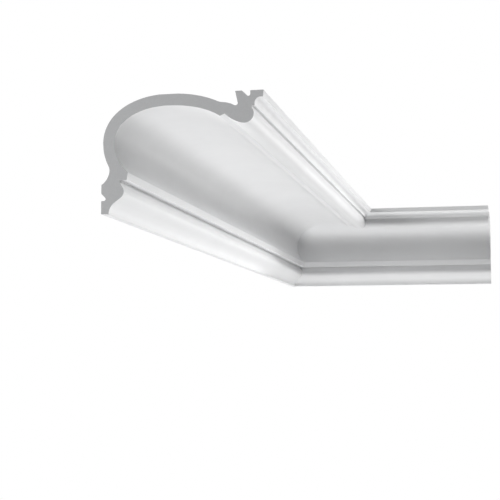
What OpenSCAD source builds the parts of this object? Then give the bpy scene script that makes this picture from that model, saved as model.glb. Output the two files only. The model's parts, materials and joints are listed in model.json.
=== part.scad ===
// Cornice moulding at the inside corner of a room: two mitred lengths of one
// coved section, fixed where the walls meet the ceiling.
//
// Frame: the origin is the inside corner of the walls at the level of the
// moulding's lower edge. +X runs to the right along the back wall, the side
// wall's length runs towards -Y, and +Z points up to the ceiling.
// The section is drawn with x as the distance from the wall and y as the
// height above the lower edge.

/* [Overall] */
// Projection of the moulding along the ceiling
projection = 153; // [125:1:200]
// Height of the moulding down the wall
height = 110; // [90:1:150]
// Length along the side wall, from the corner to the square cut
side_run = 1000; // [250:10:2400]
// Length along the back wall, from the corner to the square cut
back_run = 332; // [250:1:2400]

/* [Shell] */
// Thickness of the curved shell
shell_t = 11; // [8:0.5:14]
// Thickness of the shell where it touches the ceiling
crown_t = 10.7; // [8:0.1:14]
// Air gap between the shell and the wall where they come closest
wall_gap = 1.3; // [0.5:0.1:4]

/* [Foot] */
// Thickness of the lower edge
foot_t = 7.2; // [4:0.1:10]
// How far the ogee swells out from the lower edge
ogee_w = 14.4; // [10:0.1:18]
// Height of the ogee's widest point
ogee_h = 20.6; // [16:0.1:24]
// Distance from the wall to the bottom of the lower quirk
lower_quirk_x = 17.5; // [15:0.1:19]
// Radius of the lower quirk's rounded bottom
lower_quirk_r = 0.9; // [0.5:0.1:1.2]
// Height of the lower fillet's underside
lower_fillet_z = 31.4; // [30:0.1:34]
// Height of the lower fillet's face
lower_fillet_h = 7.3; // [4:0.1:10]
// Distance from the wall to the lower fillet's lower edge
lower_fillet_x = 24.2; // [22:0.1:28]
// Lean of the lower fillet's face, away from the wall at its top
lower_fillet_lean = 1.2; // [0:0.1:3]

/* [Cove] */
// Distance from the cove's deepest point to its highest point, along the ceiling
cove_depth = 51.3; // [42:0.1:60]
// Rise of the cove above its deepest point
cove_rise = 32.5; // [28:0.1:38]
// Fullness of the cove: 2 is an ellipse, more is squarer
cove_fullness = 2.1; // [2:0.05:2.4]

/* [Head] */
// Distance from the front edge back to the cove's end
upper_fillet_back = 40.8; // [36:0.1:46]
// Depth below the ceiling of the cove's end
upper_fillet_drop = 22.4; // [20:0.1:26]
// Width of the upper fillet
upper_fillet_w = 4.5; // [2:0.1:6]
// Rise of the upper fillet across its width
upper_fillet_rise = 1.9; // [1:0.1:3]
// Radius of the torus
torus_r = 8.4; // [6:0.1:10]
// Distance from the front edge back to the torus's centre
torus_back = 17.7; // [15:0.1:20]
// Depth below the ceiling of the torus's centre
torus_drop = 21.3; // [18:0.1:25]
// Depth of the upper quirk, from the torus's side up to the step above it
upper_quirk_d = 2.2; // [1:0.1:3]
// Distance from the front edge back to the foot of the small hollow
hollow_back = 8.5; // [7:0.1:10]
// Radius of the small hollow
hollow_r = 5.3; // [3:0.1:6]
// Height of the front band below the ceiling
band_h = 6.3; // [5:0.1:8]
// Slope of the front band across its height
band_slope = 0.8; // [0:0.1:2]

/* [Back] */
// Height of the land that lies on the wall
wall_land_h = 27.6; // [24:0.1:32]
// Turn past the cove's deepest point where its back leaves the even shell
heel_turn = 24; // [10:1:40]
// Distance from the front edge where the cove's back leaves the even shell
relief_back = 47; // [44:0.5:54]
// Distance from the front edge back to the pocket's mouth
pocket_back = 27; // [25:0.1:32]
// Depth of the pocket behind the torus
pocket_d = 13.3; // [8:0.1:15]
// Radius of the pocket's bottom
pocket_r = 2.2; // [1:0.1:3]
// Slope of the pocket's front side across its depth
pocket_slope = 2.9; // [0:0.1:5]
// Bow of the hump between the pocket and the shell
hump_bow = 7.5; // [3:0.1:9]
// Bow of the heel between the shell and the wall
heel_bow = 6; // [2:0.1:8]

/* [Glue grooves] */
// Height of the wall groove's lower side
wall_groove_z = 12.5; // [8:0.1:15]
// Depth of the wall groove
wall_groove_d = 4.2; // [2:0.1:5]
// Distance from the front edge back to the ceiling groove
ceiling_groove_back = 12.5; // [11:0.1:14]
// Depth of the ceiling groove
ceiling_groove_d = 5.1; // [2:0.1:6]
// Radius of a groove's rounded bottom
groove_r = 1.8; // [0.5:0.1:1.9]

/* [Hidden] */

// Degrees of turn between the points of the cove
cove_step = 3;
// Degrees of turn between the points of a small arc
arc_step = 7;
// Points on a Bezier curve
bezier_n = 14;
// How far a cutting shape runs past the face it cuts
over = 2;

// Share of the ogee's height at which it turns from hollow to round
ogee_turn = 0.61;
// Where the ogee's upper part bends in from its widest point to the quirk
neck_bow = 3.4;
neck_lean = 0.9;
// Angle on the lower quirk's rounding where the ogee runs into it
quirk_a = 215;
// Bow of the torus's long slope: at the fillet, and back from its lowest point
torus_slope_bow = [3.3, -3.7];
torus_low_bow = 6.3;
// Angle on the torus where it turns into the quirk above it
torus_end_a = 38;
// Angle on the pocket's rounding where the hump leaves it
pocket_a = -120;
// Bow of the heel where it meets the wall: out from the wall, and up
heel_foot_bow = [4.6, 1.9];

// Lower fillet's upper edge, where the cove starts
cove_start = [lower_fillet_x + lower_fillet_lean, lower_fillet_z + lower_fillet_h];
// Upper fillet's inner edge, where the cove ends
cove_end = [projection - upper_fillet_back, height - upper_fillet_drop];
// The cove is an oval of four quarters that share this centre
cove_c = [wall_gap + shell_t + cove_depth, height - crown_t - cove_rise];
// Drop of the oval below its centre, so that it passes through the cove's start
cove_drop = quarter_axis(cove_c[1] - cove_start[1], (cove_c[0] - cove_start[0]) / cove_depth);
// Reach of the oval in front of its centre, so that it passes through the cove's end
cove_reach = quarter_axis(cove_end[0] - cove_c[0], (cove_end[1] - cove_c[1]) / cove_rise);

// The torus starts at the upper fillet and ends at the upper quirk
torus_start = cove_end + [upper_fillet_w, upper_fillet_rise];
torus_c = [projection - torus_back, height - torus_drop];
upper_quirk = torus_c + polar(torus_r, torus_end_a) + [0, upper_quirk_d];
// The small hollow is limited by the height between the quirk's step and the band
hollow_fit_r = min(hollow_r, height - band_h - upper_quirk[1]);
hollow_c = [projection - hollow_back + hollow_fit_r, height - band_h - hollow_fit_r];
// Centre of the rounding at the pocket's bottom
pocket_c = [projection - pocket_back + pocket_slope - pocket_r, height - pocket_d + pocket_r];

// A vector of length r at angle a
function polar(r, a) = r * [cos(a), sin(a)];

// A vector turned a quarter to the left
function turned(v) = [-v[1], v[0]];

// Points on a circle of centre c and radius r, from angle a0 to angle a1
function arc(c, r, a0, a1) =
    let (n = ceil(abs(a1 - a0) / arc_step))
    [for (i = [0:n]) c + polar(r, a0 + (a1 - a0) * i / n)];

// Points on a cubic Bezier curve
function bezier(p0, p1, p2, p3) =
    [for (i = [0:bezier_n]) let (t = i / bezier_n, s = 1 - t)
        s * s * s * p0 + 3 * s * s * t * p1 + 3 * s * t * t * p2 + t * t * t * p3];

// Half axis of a quarter oval that has the offset d along it where it is the
// given share of the other half axis out
function quarter_axis(d, share) =
    d / pow(1 - pow(share, cove_fullness), 1 / cove_fullness);

// The oval's half axes in the quarter that holds angle a
function cove_axes(a) =
    [cos(a) < 0 ? cove_depth : cove_reach, sin(a) < 0 ? cove_drop : cove_rise];

// Point on the oval at angle a
function cove_point(a) =
    let (k = 2 / cove_fullness, axes = cove_axes(a))
    cove_c + [sign(cos(a)) * axes[0] * pow(abs(cos(a)), k),
              sign(sin(a)) * axes[1] * pow(abs(sin(a)), k)];

// Direction at right angles to the oval at angle a, out of its centre
function cove_normal(a) =
    let (k = 2 - 2 / cove_fullness, axes = cove_axes(a),
         v = [sign(cos(a)) * pow(abs(cos(a)), k) / axes[0],
              sign(sin(a)) * pow(abs(sin(a)), k) / axes[1]])
    v / norm(v);

// Angle of the oval's point at height z, in its quarter next to the wall and below the centre
function cove_angle_low(z) = 180 + asin(pow((cove_c[1] - z) / cove_drop, cove_fullness / 2));

// Angle of the oval's point at distance x from the wall, in its upper quarter next to the room
function cove_angle_front(x) = acos(pow((x - cove_c[0]) / cove_reach, cove_fullness / 2));

// Room side of the foot: lower edge, ogee, quirk and fillet
function foot_outline() =
    let (swell = [foot_t + ogee_w, ogee_h],
         quirk_c = [lower_quirk_x + lower_quirk_r, lower_fillet_z - lower_quirk_r],
         quirk = quirk_c + polar(lower_quirk_r, quirk_a))
    concat(
        [[0, 0]],
        bezier([foot_t, 0], [foot_t, ogee_turn * ogee_h], [swell[0], ogee_turn * ogee_h], swell),
        bezier(swell, swell + [0, neck_bow], quirk + [neck_lean, -neck_bow], quirk),
        arc(quirk_c, lower_quirk_r, quirk_a, 90),
        [[lower_fillet_x, lower_fillet_z]]
    );

// Room side of the cove, from the lower fillet up and over to the upper one
function cove_outline() =
    let (a0 = cove_angle_low(cove_start[1]), a1 = cove_angle_front(cove_end[0]),
         n = ceil((a0 - a1) / cove_step))
    [for (i = [0:n]) cove_point(a0 + (a1 - a0) * i / n)];

// Room side of the head: fillet, torus, quirk, hollow and front band
function head_outline() =
    let (torus_low = torus_c - [0, torus_r])
    concat(
        bezier(torus_start, torus_start + torus_slope_bow,
               torus_low - [torus_low_bow, 0], torus_low),
        arc(torus_c, torus_r, -90, torus_end_a),
        [upper_quirk, [projection - hollow_back, upper_quirk[1]]],
        arc(hollow_c, hollow_fit_r, 180, 90),
        [[projection - band_slope, height - band_h]],
        [[projection, height], [projection, height + over]]
    );

// Ceiling and wall side, from the front edge back to the foot
function back_outline() =
    let (a0 = cove_angle_front(projection - relief_back), a1 = 180 + heel_turn,
         n = ceil((a1 - a0) / cove_step),
         back = [for (i = [0:n]) let (a = a0 + (a1 - a0) * i / n)
                 cove_point(a) + shell_t * cove_normal(a)],
         hump = pocket_c + polar(pocket_r, pocket_a))
    concat(
        [[projection - pocket_back, height + over]],
        arc(pocket_c, pocket_r, 0, pocket_a),
        bezier(hump, hump + polar(hump_bow, pocket_a - 90),
               back[0] - hump_bow / 3 * turned(cove_normal(a0)), back[0]),
        back,
        bezier(back[n], back[n] + heel_bow * turned(cove_normal(a1)),
               [0, wall_land_h] + heel_foot_bow, [0, wall_land_h])
    );

// Groove for adhesive, cut upwards from the x axis: one side is square, at
// x = 0, and the other slopes at 45 degrees towards -x
module glue_groove(depth) {
    c = [-groove_r, depth - groove_r];
    tip = c + polar(groove_r, 135);
    polygon(concat(
        [[0, -over]],
        arc(c, groove_r, 0, 135),
        [tip - (tip[1] + over) * [1, 1]]
    ));
}

// The moulding's section
module section() {
    difference() {
        intersection() {
            polygon(concat(foot_outline(), cove_outline(), head_outline(), back_outline()));
            translate([-over, -over]) square([projection + 2 * over, height + over]);
        }
        translate([projection - ceiling_groove_back, height]) mirror([0, 1])
            glue_groove(ceiling_groove_d);
        translate([0, wall_groove_z]) rotate(-90) glue_groove(wall_groove_d);
    }
}

// A length along the side wall, mitred at the corner and cut square at its end
module mitred_length(run) {
    intersection() {
        rotate([90, 0, 0]) linear_extrude(run) section();
        translate([0, 0, -over]) linear_extrude(height + 2 * over)
            polygon([[-over, over], [-over, -run - over],
                     [projection + over, -run - over],
                     [projection + over, -projection - over]]);
    }
}

module side_length() {
    color("gainsboro") mitred_length(side_run);
}

// The back wall's length is the side wall's turned over the mitre
module back_length() {
    color("whitesmoke") mirror([1, 1, 0]) mitred_length(back_run);
}

side_length();
back_length();
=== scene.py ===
"""Cornice moulding at the inside corner of a room: two mitred lengths of one coved section.

Each length is drawn out from its own square-cut end to the corner, where a
plane cuts its mitre. The room side is primed white, the back is left as it
was cast, and the square cuts and mitres show the sawn core.
"""
import json
import logging
from collections.abc import Callable, Iterator
from contextlib import contextmanager
from dataclasses import dataclass, field
from enum import Enum
from math import radians

import bmesh
import bpy
from mathutils import Euler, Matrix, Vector

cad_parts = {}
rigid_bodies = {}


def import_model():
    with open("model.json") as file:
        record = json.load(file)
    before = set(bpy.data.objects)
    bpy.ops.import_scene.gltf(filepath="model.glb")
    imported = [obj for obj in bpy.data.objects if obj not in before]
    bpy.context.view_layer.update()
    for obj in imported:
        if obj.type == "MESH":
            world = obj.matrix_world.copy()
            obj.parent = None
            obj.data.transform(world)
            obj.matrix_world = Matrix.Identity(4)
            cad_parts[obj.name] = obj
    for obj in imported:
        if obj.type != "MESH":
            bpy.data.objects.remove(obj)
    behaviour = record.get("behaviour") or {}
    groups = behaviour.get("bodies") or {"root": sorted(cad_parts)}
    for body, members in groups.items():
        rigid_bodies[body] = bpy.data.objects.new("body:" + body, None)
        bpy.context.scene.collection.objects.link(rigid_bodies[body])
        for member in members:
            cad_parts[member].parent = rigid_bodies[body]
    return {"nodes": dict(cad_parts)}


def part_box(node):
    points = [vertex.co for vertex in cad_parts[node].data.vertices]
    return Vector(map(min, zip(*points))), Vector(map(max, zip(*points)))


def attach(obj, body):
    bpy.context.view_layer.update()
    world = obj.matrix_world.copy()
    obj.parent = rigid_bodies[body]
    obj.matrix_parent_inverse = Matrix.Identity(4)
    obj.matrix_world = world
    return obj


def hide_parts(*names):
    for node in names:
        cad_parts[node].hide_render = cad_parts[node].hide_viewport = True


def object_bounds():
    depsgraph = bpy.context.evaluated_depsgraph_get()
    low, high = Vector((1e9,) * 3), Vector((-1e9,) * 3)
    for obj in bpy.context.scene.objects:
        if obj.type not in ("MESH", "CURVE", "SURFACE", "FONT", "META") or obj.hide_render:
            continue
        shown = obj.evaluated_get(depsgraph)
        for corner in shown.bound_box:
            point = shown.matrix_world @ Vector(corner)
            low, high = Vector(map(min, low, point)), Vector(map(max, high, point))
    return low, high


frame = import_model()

LOG = logging.getLogger("cornice")
CAD_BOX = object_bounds()

MM = 0.001
# How far from a plane something may lie and still count as on it
NEAR = 0.01 * MM

Colour = tuple[float, float, float]
Range = tuple[float, float]
Socket = bpy.types.NodeSocket
Input = float | Colour | Vector | Socket
MeshPart = bmesh.types.BMVert | bmesh.types.BMEdge | bmesh.types.BMFace

WHITE: Colour = (1, 1, 1)
# Span that most of a noise pattern lies in, and the span of a share
NOISE_SPAN: Range = (0.3, 0.7)
NONE_TO_ALL: Range = (0, 1)


class Wall(Enum):
    """The wall that a length is fixed to."""

    SIDE = "side"
    BACK = "back"

    @property
    def run(self) -> Vector:
        """Direction from the corner along the wall to the square cut."""
        return Vector((0, -1, 0)) if self is Wall.SIDE else Vector((1, 0, 0))

    @property
    def out(self) -> Vector:
        """Direction out of the wall into the room."""
        return Vector((1, 0, 0)) if self is Wall.SIDE else Vector((0, -1, 0))

    @property
    def mitre(self) -> Vector:
        """Direction at right angles to the mitre, into the length."""
        return (self.run - self.out).normalized()


class Zone(Enum):
    """The surfaces of a length, by the number of the material slot that dresses them."""

    ROOM_SIDE = 0
    CAST_BACK = 1
    SAWN_CORE = 2


class Element(Enum):
    """What is selected in edit mode, by the name of its list in a mesh."""

    VERT = "verts"
    EDGE = "edges"
    FACE = "faces"


# ---------------------------------------------------------------- finishes


class Graph:
    """The node graph of one material, with its patterns placed by the object's own axes."""

    def __init__(self, name: str) -> None:
        """Starts a material with its shader and its coordinates.

        Args:
            name: Name of the material.
        """
        self.material: bpy.types.Material = bpy.data.materials.new(name)
        self.material.use_nodes = True
        self.tree: bpy.types.NodeTree = self.material.node_tree
        self.shader: bpy.types.Node = self.tree.nodes["Principled BSDF"]
        self.place: Socket = self.add("ShaderNodeTexCoord").outputs["Object"]

    def add(self, kind: str, **inputs: Input) -> bpy.types.Node:
        """Adds a node and sets its inputs.

        Args:
            kind: Type name of the node.
            inputs: Value of an input, or the socket linked to it, by its name in lower case.

        Returns:
            The new node.
        """
        node = self.tree.nodes.new(kind)
        self.feed(node, inputs)
        return node

    def feed(self, node: bpy.types.Node, inputs: dict[str, Input]) -> None:
        """Sets a node's inputs.

        Args:
            node: The node.
            inputs: Value of an input, or the socket linked to it, by its name in lower case.
        """
        usable = [socket for socket in node.inputs if socket.enabled]
        sockets = {socket.name.lower().replace(" ", "_"): socket for socket in usable}
        for name, value in inputs.items():
            if isinstance(value, Socket):
                self.tree.links.new(value, sockets[name])
            else:
                sockets[name].default_value = value

    def noise(self, size: float, detail: float = 2, stretch: Vector | None = None) -> Socket:
        """A soft random pattern.

        Args:
            size: Size of its patches in metres.
            detail: How much finer detail it holds.
            stretch: How far the patches are drawn out along each axis.

        Returns:
            The socket of its value.
        """
        place = self.place
        if stretch is not None:
            scale = Vector(1 / part for part in stretch)
            place = self.add("ShaderNodeMapping", vector=place, scale=scale).outputs["Vector"]
        node = self.add("ShaderNodeTexNoise", vector=place, scale=1 / size, detail=detail)
        return node.outputs["Fac"]

    def cells(self, size: float) -> Socket:
        """Distance from the middle of the nearest cell of a closed foam.

        Args:
            size: Size of the cells in metres.

        Returns:
            The socket of its value.
        """
        node = self.add("ShaderNodeTexVoronoi", vector=self.place, scale=1 / size)
        return node.outputs["Distance"]

    def away_from(self, point: Vector) -> Socket:
        """Distance from a point.

        Args:
            point: The point.

        Returns:
            The socket of the distance in metres.
        """
        node = self.tree.nodes.new("ShaderNodeVectorMath")
        node.operation = "DISTANCE"
        node.inputs[1].default_value = point
        self.tree.links.new(self.place, node.inputs[0])
        return node.outputs["Value"]

    def span(self, value: Socket, source: Range, target: Range) -> Socket:
        """Brings a value from one span to another.

        Args:
            value: Socket of the value.
            source: Lowest and highest value that counts.
            target: What they become.

        Returns:
            The socket of the new value.
        """
        low, high = source
        least, most = target
        node = self.add(
            "ShaderNodeMapRange",
            value=value,
            from_min=low,
            from_max=high,
            to_min=least,
            to_max=most,
        )
        return node.outputs["Result"]

    def blend(self, share: Socket, first: Colour, second: Colour) -> Socket:
        """Mixes two colours by a pattern.

        Args:
            share: Socket that says how much of the second colour shows.
            first: Colour where it is 0.
            second: Colour where it is 1.

        Returns:
            The socket of the mixed colour.
        """
        node = self.tree.nodes.new("ShaderNodeMix")
        node.data_type = "RGBA"
        self.feed(node, {"factor": share, "a": (*first, 1), "b": (*second, 1)})
        return next(socket for socket in node.outputs if socket.enabled)

    def relief(self, height: Socket, depth: float, under: Socket | None = None) -> Socket:
        """A fine relief that bends the light.

        Args:
            height: Socket of the relief's height.
            depth: Its depth in metres.
            under: Socket of the normal of a coarser relief below it.

        Returns:
            The socket of the bent normal.
        """
        node = self.add("ShaderNodeBump", height=height, distance=depth)
        if under is not None:
            self.tree.links.new(under, node.inputs["Normal"])
        return node.outputs["Normal"]

    def dress(self, **inputs: Input) -> bpy.types.Material:
        """Sets the shader's inputs.

        Args:
            inputs: Value of an input, or the socket linked to it, by its name in lower case.

        Returns:
            The finished material.
        """
        self.feed(self.shader, inputs)
        return self.material

    def pale(self, share: Socket) -> None:
        """Lays plain white over the surface, only for what looks at it.

        Args:
            share: Socket that says how much of it is white.
        """
        output = self.tree.nodes["Material Output"]
        white = self.add("ShaderNodeEmission", color=(*WHITE, 1), strength=1)
        cover = self.tree.nodes.new("ShaderNodeMath")
        cover.operation = "MULTIPLY"
        both = self.tree.nodes.new("ShaderNodeMixShader")
        links = self.tree.links
        links.new(share, cover.inputs[0])
        links.new(looks(self.tree), cover.inputs[1])
        links.new(cover.outputs["Value"], both.inputs["Fac"])
        links.new(self.shader.outputs["BSDF"], both.inputs[1])
        links.new(white.outputs["Emission"], both.inputs[2])
        links.new(both.outputs["Shader"], output.inputs["Surface"])


def looks(tree: bpy.types.NodeTree) -> Socket:
    """Whether a ray looks at a surface, straight or by a reflection, and isn't lighting it.

    Args:
        tree: Node tree that asks.

    Returns:
        The socket of its value, 1 or 0.
    """
    ray = tree.nodes.new("ShaderNodeLightPath")
    seen = ray.outputs["Is Camera Ray"]
    for kind in ("Is Glossy Ray", "Is Transmission Ray"):
        either = tree.nodes.new("ShaderNodeMath")
        either.operation = "MAXIMUM"
        tree.links.new(seen, either.inputs[0])
        tree.links.new(ray.outputs[kind], either.inputs[1])
        seen = either.outputs["Value"]
    return seen


@dataclass(frozen=True)
class PrimedWhite:
    """Sprayed white primer on the room side, ready for the room's paint."""

    name: str = "primed_white"
    colour: Colour = (0.8, 0.803, 0.808)
    thin_coat: Colour = (0.775, 0.778, 0.784)
    # Size of the patches where the coat is thinner
    patch: float = 90 * MM
    # Width and depth of the faint lines that the mould has drawn, and how drawn out they are
    line: float = 6 * MM
    line_depth: float = 0.006 * MM
    line_stretch: float = 60
    # Size and depth of the spray's stipple
    stipple: float = 0.7 * MM
    stipple_depth: float = 0.02 * MM
    # Size of the duller patches, and the span of the sheen
    dull_patch: float = 12 * MM
    roughness: Range = (0.5, 0.62)
    specular: float = 0.35

    def material(self, run: Vector) -> bpy.types.Material:
        """Makes the finish.

        Args:
            run: Direction of the length, along which the mould has drawn faint lines.

        Returns:
            The material.
        """
        graph = Graph(f"{self.name}_{'y' if run.y else 'x'}")
        along = Vector(self.line_stretch if part else 1 for part in run)
        coat = graph.span(graph.noise(self.patch, detail=3), NOISE_SPAN, NONE_TO_ALL)
        drawn = graph.noise(self.line, detail=1, stretch=along)
        lines = graph.relief(drawn, self.line_depth)
        stipple = graph.noise(self.stipple, detail=3)
        dull = graph.noise(self.dull_patch, detail=4)
        return graph.dress(
            base_color=graph.blend(coat, self.colour, self.thin_coat),
            roughness=graph.span(dull, NOISE_SPAN, self.roughness),
            normal=graph.relief(stipple, self.stipple_depth, lines),
            specular_ior_level=self.specular,
        )


@dataclass(frozen=True)
class CastBack:
    """Bare skin of the casting on the hidden side, off-white, faintly mottled and pitted."""

    name: str = "cast_back"
    colour: Colour = (0.8, 0.797, 0.786)
    stain: Colour = (0.765, 0.761, 0.747)
    # Size of the stained patches
    patch: float = 70 * MM
    # Size and depth of the skin's grain and of its pits
    grain: float = 5 * MM
    grain_depth: float = 0.1 * MM
    pit: float = 7 * MM
    pit_depth: float = 0.12 * MM
    # Distance from a pit's middle to its bottom's edge and to its rim, as a share of its cell
    pit_sides: Range = (0.03, 0.1)
    # Size of the duller patches, and the span of the sheen
    dull_patch: float = 20 * MM
    roughness: Range = (0.5, 0.7)
    specular: float = 0.4

    def material(self) -> bpy.types.Material:
        """Makes the finish.

        Returns:
            The material.
        """
        graph = Graph(self.name)
        mottle = graph.span(graph.noise(self.patch, detail=4), NOISE_SPAN, NONE_TO_ALL)
        grain = graph.relief(graph.noise(self.grain, detail=4), self.grain_depth)
        pits = graph.span(graph.cells(self.pit), self.pit_sides, NONE_TO_ALL)
        dull = graph.noise(self.dull_patch, detail=3)
        return graph.dress(
            base_color=graph.blend(mottle, self.colour, self.stain),
            roughness=graph.span(dull, NOISE_SPAN, self.roughness),
            normal=graph.relief(pits, self.pit_depth, grain),
            specular_ior_level=self.specular,
        )


@dataclass(frozen=True)
class SawnCore:
    """Fine closed foam of the core where the saw went through it."""

    name: str = "sawn_core"
    colour: Colour = (0.41, 0.414, 0.42)
    cell_wall: Colour = (0.468, 0.472, 0.479)
    # Size and depth of the cut cells
    cell: float = 0.55 * MM
    cell_depth: float = 0.1 * MM
    # Distance from a cell's middle to its wall's foot and to its top, as a share of its size
    cell_sides: Range = (0.1, 0.6)
    # Pitch and depth of the saw's strokes, which run level, and how drawn out they are
    tooth_pitch: float = 1.6 * MM
    stroke_depth: float = 0.12 * MM
    stroke_stretch: float = 30
    roughness: float = 0.85
    specular: float = 0.25

    def material(self) -> bpy.types.Material:
        """Makes the finish.

        Returns:
            The material.
        """
        graph = Graph(self.name)
        cells = graph.cells(self.cell)
        tone = graph.span(cells, self.cell_sides, NONE_TO_ALL)
        level = Vector((self.stroke_stretch, self.stroke_stretch, 1))
        strokes = graph.noise(self.tooth_pitch, detail=1, stretch=level)
        kerf = graph.relief(strokes, self.stroke_depth)
        return graph.dress(
            base_color=graph.blend(tone, self.colour, self.cell_wall),
            roughness=self.roughness,
            normal=graph.relief(cells, self.cell_depth, kerf),
            specular_ior_level=self.specular,
        )


@dataclass(frozen=True)
class PaleFloor:
    """Matt pale paint of the studio's floor, seen as fading out into the white round it."""

    name: str = "pale_floor"
    colour: Colour = (0.86, 0.86, 0.86)
    worn: Colour = (0.84, 0.84, 0.84)
    patch: float = 0.8
    roughness: float = 0.9
    # Share of plain white seen over its own light and shadow near the middle, and the
    # distances from there between which that grows to all white
    white_share: float = 0.7
    fade: Range = (3.5, 8.8)

    def material(self, middle: Vector) -> bpy.types.Material:
        """Makes the finish.

        Args:
            middle: Middle of the floor.

        Returns:
            The material.
        """
        graph = Graph(self.name)
        graph.pale(graph.span(graph.away_from(middle), self.fade, (self.white_share, 1)))
        return graph.dress(
            base_color=graph.blend(graph.noise(self.patch), self.colour, self.worn),
            roughness=self.roughness,
        )


# ---------------------------------------------------------------- modelling


@contextmanager
def editing(obj: bpy.types.Object, element: Element) -> Iterator[None]:
    """Opens one object alone in edit mode, with nothing on it selected.

    Args:
        obj: The object to edit.
        element: What is selected while it is open.

    Yields:
        Nothing, while the object is open.
    """
    bpy.ops.object.select_all(action="DESELECT")
    obj.select_set(True)
    bpy.context.view_layer.objects.active = obj
    bpy.ops.object.mode_set(mode="EDIT")
    bpy.ops.mesh.select_mode(type=element.name)
    bpy.ops.mesh.select_all(action="DESELECT")
    yield
    bpy.ops.object.mode_set(mode="OBJECT")


def select(obj: bpy.types.Object, element: Element, test: Callable[[MeshPart], bool]) -> None:
    """Selects the parts of an open mesh that pass a test, and no others.

    Args:
        obj: The object in edit mode.
        element: Which kind of part is tested.
        test: Says of one part whether it is wanted.
    """
    bpy.ops.mesh.select_all(action="DESELECT")
    mesh = bmesh.from_edit_mesh(obj.data)
    wanted = [part for part in getattr(mesh, element.value) if test(part)]
    for part in wanted:
        part.select_set(True)
    mesh.select_flush_mode()
    bmesh.update_edit_mesh(obj.data)


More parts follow.
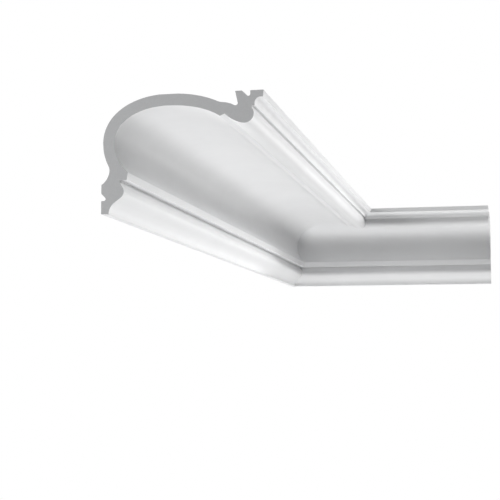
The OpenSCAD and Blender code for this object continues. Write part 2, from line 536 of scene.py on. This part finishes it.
@dataclass
class MouldingLength:
    """One length of the moulding, from its square cut to its mitre at the corner."""

    node: str
    wall: Wall
    # Length of side that an arris's rounding takes
    arris: float = 0.4 * MM
    # An outline turns by more than this at an arris
    arris_turn: float = radians(20)
    # Facets across an arris's rounding, and its fullness, where a half is round
    arris_facets: int = 4
    arris_fullness: float = 0.5
    # A curve's corners turn by more than this, between sides of about one length
    curve_turn: float = radians(1.5)
    # How many times longer one side of a curve's corner may be than the other
    curve_sides: float = 1.8
    # Percentage of each side that goes where a curve's corner is cut off
    curve_cut: float = 25
    # Longest stretch drawn out in one go along the run
    stretch: float = 40 * MM
    # How near the mitre's plane a corner is taken as cut already
    mitre_slack: float = 0.1 * NEAR
    # How far the mitre's edge is eased back, for the hairline of the joint
    joint_ease: float = 0.15 * MM
    # How far behind the front a face of the front band may lie
    band_depth: float = 1 * MM
    piece: bpy.types.Object = field(init=False)
    reach: float = field(init=False)
    projection: float = field(init=False)
    height: float = field(init=False)

    def __post_init__(self) -> None:
        """Reads the length's own sizes off the CAD node's box."""
        low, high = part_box(self.node)
        self.reach = max(low.dot(self.wall.run), high.dot(self.wall.run))
        self.projection = max(low.dot(self.wall.out), high.dot(self.wall.out))
        self.height = high.z

    def on_square_cut(self, point: Vector) -> bool:
        """Whether a point lies on the plane of the square cut."""
        return abs(point.dot(self.wall.run) - self.reach) < NEAR

    def on_mitre(self, point: Vector) -> bool:
        """Whether a point lies on the plane of the mitre."""
        return abs(point.dot(self.wall.mitre)) < NEAR

    def on_wall(self, point: Vector) -> bool:
        """Whether a point lies on the plane of the wall."""
        return abs(point.dot(self.wall.out)) < NEAR

    def on_ceiling(self, point: Vector) -> bool:
        """Whether a point lies on the plane of the ceiling."""
        return abs(point.z - self.height) < NEAR

    def build(self) -> bpy.types.Object:
        """Models the length.

        Returns:
            The piece, with its surfaces still undressed.
        """
        self.take_end()
        self.ease_arrises()
        self.even_curves()
        self.draw_out()
        self.cut_mitre()
        self.mark_seams()
        self.ease_joint()
        self.smooth()
        return self.piece

    def take_end(self) -> None:
        """Takes the outline of the square cut from a merged copy of the CAD node's mesh."""

        def off_square_cut(face: bmesh.types.BMFace) -> bool:
            """Whether a face is not on the square cut."""
            return not self.on_square_cut(face.calc_center_median())

        mesh = frame["nodes"][self.node].data.copy()
        mesh.materials.clear()
        self.piece = bpy.data.objects.new(f"{self.wall.value}_moulding", mesh)
        bpy.context.scene.collection.objects.link(self.piece)
        with editing(self.piece, Element.FACE):
            bpy.ops.mesh.select_all(action="SELECT")
            bpy.ops.mesh.remove_doubles(threshold=NEAR)
            select(self.piece, Element.FACE, off_square_cut)
            bpy.ops.mesh.delete(type="FACE")
            bpy.ops.mesh.select_all(action="SELECT")
            bpy.ops.mesh.dissolve_faces()

    @staticmethod
    def turn_and_sides(corner: bmesh.types.BMVert) -> tuple[float, float]:
        """How the outline passes a corner.

        Args:
            corner: A corner of the outline.

        Returns:
            The angle it turns by, and how many times longer one side is than the other.
        """
        ahead, behind = [edge.other_vert(corner).co - corner.co for edge in corner.link_edges]
        short, long = sorted((ahead.length, behind.length))
        return ahead.angle(-behind), long / short

    def ease_arrises(self) -> None:
        """Rounds the sharp corners of the outline."""

        def is_arris(corner: bmesh.types.BMVert) -> bool:
            """Whether the outline turns sharply at a corner."""
            return self.turn_and_sides(corner)[0] > self.arris_turn

        with editing(self.piece, Element.VERT):
            select(self.piece, Element.VERT, is_arris)
            bpy.ops.mesh.bevel(
                offset=self.arris,
                segments=self.arris_facets,
                profile=self.arris_fullness,
                affect="VERTICES",
            )

    def even_curves(self) -> None:
        """Cuts the corners of the outline's curves off once more, to make the curves finer."""

        def on_curve(corner: bmesh.types.BMVert) -> bool:
            """Whether a corner lies between two short sides of one curve."""
            turn, ratio = self.turn_and_sides(corner)
            return turn > self.curve_turn and ratio < self.curve_sides

        with editing(self.piece, Element.VERT):
            select(self.piece, Element.VERT, on_curve)
            bpy.ops.mesh.bevel(
                offset_type="PERCENT",
                offset_pct=self.curve_cut,
                segments=1,
                affect="VERTICES",
            )

    def draw_out(self) -> None:
        """Draws the outline out along the wall, in even stretches, to past the corner."""
        # One for what whole stretches leave of the run, and one to pass the corner by
        count = 2 + int(self.reach / self.stretch)
        step = -self.wall.run * (self.reach + self.stretch) / count
        with editing(self.piece, Element.FACE):
            bpy.ops.mesh.select_all(action="SELECT")
            for _ in range(count):
                bpy.ops.mesh.extrude_region_move(TRANSFORM_OT_translate={"value": step})
            bpy.ops.mesh.select_all(action="SELECT")
            bpy.ops.mesh.normals_make_consistent(inside=False)

    def cut_mitre(self) -> None:
        """Cuts the length off at the mitre and closes it there."""
        with editing(self.piece, Element.FACE):
            bpy.ops.mesh.select_all(action="SELECT")
            bpy.ops.mesh.bisect(
                plane_co=(0, 0, 0),
                plane_no=self.wall.mitre,
                use_fill=True,
                clear_inner=True,
                threshold=self.mitre_slack,
            )

    def mark_seams(self) -> None:
        """Marks where one finish ends: round both ends, and along the two outer corners."""
        corners = [vertex.co for vertex in self.piece.data.vertices]
        foot = min(point.z for point in corners if self.on_wall(point))
        front = max(point.dot(self.wall.out) for point in corners if self.on_ceiling(point))

        def at_foot(point: Vector) -> bool:
            """Whether a point lies on the corner line at the wall."""
            return self.on_wall(point) and point.z - foot < NEAR

        def at_front(point: Vector) -> bool:
            """Whether a point lies on the corner line at the ceiling."""
            return self.on_ceiling(point) and front - point.dot(self.wall.out) < NEAR

        def is_seam(edge: bmesh.types.BMEdge) -> bool:
            """Whether an edge lies on a corner line or round an end.

            Args:
                edge: An edge of the length.

            Returns:
                Whether it does.
            """
            ends = [vertex.co for vertex in edge.verts]
            places = (at_foot, at_front, self.on_square_cut, self.on_mitre)
            return any(all(map(place, ends)) for place in places)

        with editing(self.piece, Element.EDGE):
            select(self.piece, Element.EDGE, is_seam)
            bpy.ops.mesh.mark_seam()

    def ease_joint(self) -> None:
        """Eases the mitre's edge back along the run, round an inset of its face."""

        def on_joint_face(face: bmesh.types.BMFace) -> bool:
            """Whether a face is the mitre's own."""
            return self.on_mitre(face.calc_center_median())

        def on_joint_edge(corner: bmesh.types.BMVert) -> bool:
            """Whether a corner lies on the mitre's outer edge."""
            return self.on_mitre(corner.co) and not all(map(on_joint_face, corner.link_faces))

        with editing(self.piece, Element.FACE):
            select(self.piece, Element.FACE, on_joint_face)
            bpy.ops.mesh.inset(thickness=self.joint_ease)
        with editing(self.piece, Element.VERT):
            select(self.piece, Element.VERT, on_joint_edge)
            bpy.ops.transform.translate(value=self.wall.run * self.joint_ease)

    def smooth(self) -> None:
        """Shades the curves and roundings smooth, and keeps the flats flat."""
        bpy.ops.object.select_all(action="DESELECT")
        self.piece.select_set(True)
        bpy.context.view_layer.objects.active = self.piece
        bpy.ops.object.shade_smooth_by_angle(angle=self.arris_turn)
        bpy.ops.object.modifier_add(type="WEIGHTED_NORMAL")
        self.piece.modifiers[-1].keep_sharp = True
        bpy.ops.object.modifier_apply(modifier=self.piece.modifiers[-1].name)

    def dress(self, finishes: dict[Zone, bpy.types.Material]) -> None:
        """Gives each zone of the piece its finish, zone by zone up to the seams.

        Args:
            finishes: The material of each zone.
        """

        def is_front_band(face: bmesh.types.BMFace) -> bool:
            """Whether a face belongs to the upright band that stands furthest out.

            Args:
                face: A face of the length.

            Returns:
                Whether it does.
            """
            middle = face.calc_center_median().dot(self.wall.out)
            upright = face.normal.angle(self.wall.out) < self.arris_turn
            return upright and self.projection - middle < self.band_depth

        def is_cut(face: bmesh.types.BMFace) -> bool:
            """Whether a face is the square cut's or the mitre's."""
            middle = face.calc_center_median()
            return self.on_square_cut(middle) or self.on_mitre(middle)

        for zone in Zone:
            self.piece.data.materials.append(finishes[zone])
        with editing(self.piece, Element.FACE):
            bpy.ops.mesh.select_all(action="SELECT")
            self.assign(Zone.CAST_BACK)
            select(self.piece, Element.FACE, is_front_band)
            bpy.ops.mesh.select_linked(delimit={"SEAM"})
            self.assign(Zone.ROOM_SIDE)
            select(self.piece, Element.FACE, is_cut)
            self.assign(Zone.SAWN_CORE)

    def assign(self, zone: Zone) -> None:
        """Gives the selected faces of the open piece one zone's finish."""
        self.piece.active_material_index = zone.value
        bpy.ops.object.material_slot_assign()

    def fit(self) -> None:
        """Puts the piece in its CAD node's place in the frame."""
        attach(self.piece, "root")
        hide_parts(self.node)


# ---------------------------------------------------------------- studio


# Power in watts that a lamp a metre off needs for a level of 1
WATTS_PER_LEVEL = 9.87
# How far up from straight down a camera turns to look level, in degrees
UP_TO_LEVEL = 90


@dataclass(frozen=True)
class Softbox:
    """A large soft lamp that faces the object."""

    name: str
    # Degrees round from the room's front towards its right, and up from level
    azimuth: float
    elevation: float
    # Light on a surface that faces it, as a share of what shows white as white
    level: float
    # Width of the lamp and its distance from the middle of the object
    width: float = 1.0
    distance: float = 3.0

    def hang(self, middle: Vector) -> None:
        """Hangs the lamp.

        Args:
            middle: Middle of the object.
        """
        turn = Euler((radians(-self.elevation), 0, radians(self.azimuth)))
        arm = Vector((0, -self.distance, 0))
        arm.rotate(turn)
        light = bpy.data.lights.new(self.name, "AREA")
        light.shape = "DISK"
        light.size = self.width
        light.energy = self.level * WATTS_PER_LEVEL * self.distance**2
        lamp = bpy.data.objects.new(self.name, light)
        lamp.location = middle + arm
        lamp.rotation_euler = (-arm).to_track_quat("-Z", "Y").to_euler()
        lamp.visible_camera = False
        bpy.context.scene.collection.objects.link(lamp)


SOFTBOXES = (
    Softbox("right_box", azimuth=120, elevation=20, level=0.79),
    Softbox("far_right_box", azimuth=150, elevation=-10, level=0.26),
    Softbox("left_box", azimuth=-30, elevation=5, level=0.52),
    Softbox("far_left_box", azimuth=-60, elevation=-10, level=0.24),
    Softbox("low_box", azimuth=0, elevation=-85, level=0.61, width=1.6, distance=2.6),
    Softbox("rear_box", azimuth=200, elevation=60, level=0.42, width=1.6),
)


@dataclass(frozen=True)
class Studio:
    """A plain pale floor under plain soft light, with white all round."""

    # Drop of the floor below the object, so that a view from below still stands over it
    floor_drop: float = 2.9
    floor_radius: float = 9.0
    floor_sides: int = 96
    floor_finish: PaleFloor = PaleFloor()
    softboxes: tuple[Softbox, ...] = SOFTBOXES
    # Light from all round, as a share of what shows white as white
    ambient: float = 0.1

    def lay_floor(self) -> None:
        """Lays the floor far below the object."""
        low, high = CAD_BOX
        middle = (low + high) / 2
        middle.z = low.z - self.floor_drop
        bpy.ops.object.select_all(action="DESELECT")
        bpy.ops.mesh.primitive_circle_add(
            vertices=self.floor_sides,
            radius=self.floor_radius,
            fill_type="NGON",
            location=middle,
        )
        bpy.ops.object.transform_apply()
        floor = bpy.context.object
        floor.name = "floor"
        floor.data.materials.append(self.floor_finish.material(middle))

    def light(self) -> None:
        """Hangs the lamps, and sets white for what looks past the object."""
        low, high = CAD_BOX
        for softbox in self.softboxes:
            softbox.hang((low + high) / 2)
        world = bpy.data.worlds.new("studio_world")
        world.use_nodes = True
        tree = world.node_tree
        strength = tree.nodes.new("ShaderNodeMapRange")
        strength.inputs["To Min"].default_value = self.ambient
        strength.inputs["To Max"].default_value = 1
        background = tree.nodes["Background"]
        background.inputs["Color"].default_value = (*WHITE, 1)
        tree.links.new(looks(tree), strength.inputs["Value"])
        tree.links.new(strength.outputs["Result"], background.inputs["Strength"])
        bpy.context.scene.world = world


@dataclass(frozen=True)
class Viewpoint:
    """The camera, below the moulding and looking up into the corner."""

    # Place from the corner of the walls, at the moulding's lower edge
    right: float = 0.3739
    back: float = 2.0941
    down: float = 0.1446
    # Degrees that it looks up, leans over and turns to the left
    look_up: float = 5.564
    lean: float = -0.021
    turn_left: float = 12.048
    # Focal length and width of the sensor in millimetres
    lens: float = 90.4
    sensor: float = 36.0

    def place(self) -> None:
        """Places the camera and makes it the scene's own."""
        data = bpy.data.cameras.new("camera")
        data.lens = self.lens
        data.sensor_width = self.sensor
        camera = bpy.data.objects.new("camera", data)
        camera.location = (self.right, -self.back, -self.down)
        angles = (UP_TO_LEVEL + self.look_up, self.lean, self.turn_left)
        camera.rotation_euler = [radians(angle) for angle in angles]
        bpy.context.scene.collection.objects.link(camera)
        bpy.context.scene.camera = camera


def main() -> None:
    """Builds the object and its studio."""
    logging.basicConfig(level=logging.INFO, format="%(name)s: %(message)s")
    cast, sawn = CastBack().material(), SawnCore().material()
    for length in (
        MouldingLength("side_length", Wall.SIDE),
        MouldingLength("back_length", Wall.BACK),
    ):
        piece = length.build()
        primed = PrimedWhite().material(length.wall.run)
        length.dress({Zone.ROOM_SIDE: primed, Zone.CAST_BACK: cast, Zone.SAWN_CORE: sawn})
        length.fit()
        LOG.info("%s: %d faces", piece.name, len(piece.data.polygons))
    studio = Studio()
    studio.lay_floor()
    studio.light()
    Viewpoint().place()
    bpy.context.scene.view_settings.view_transform = "Standard"


if __name__ == "__main__":
    main()
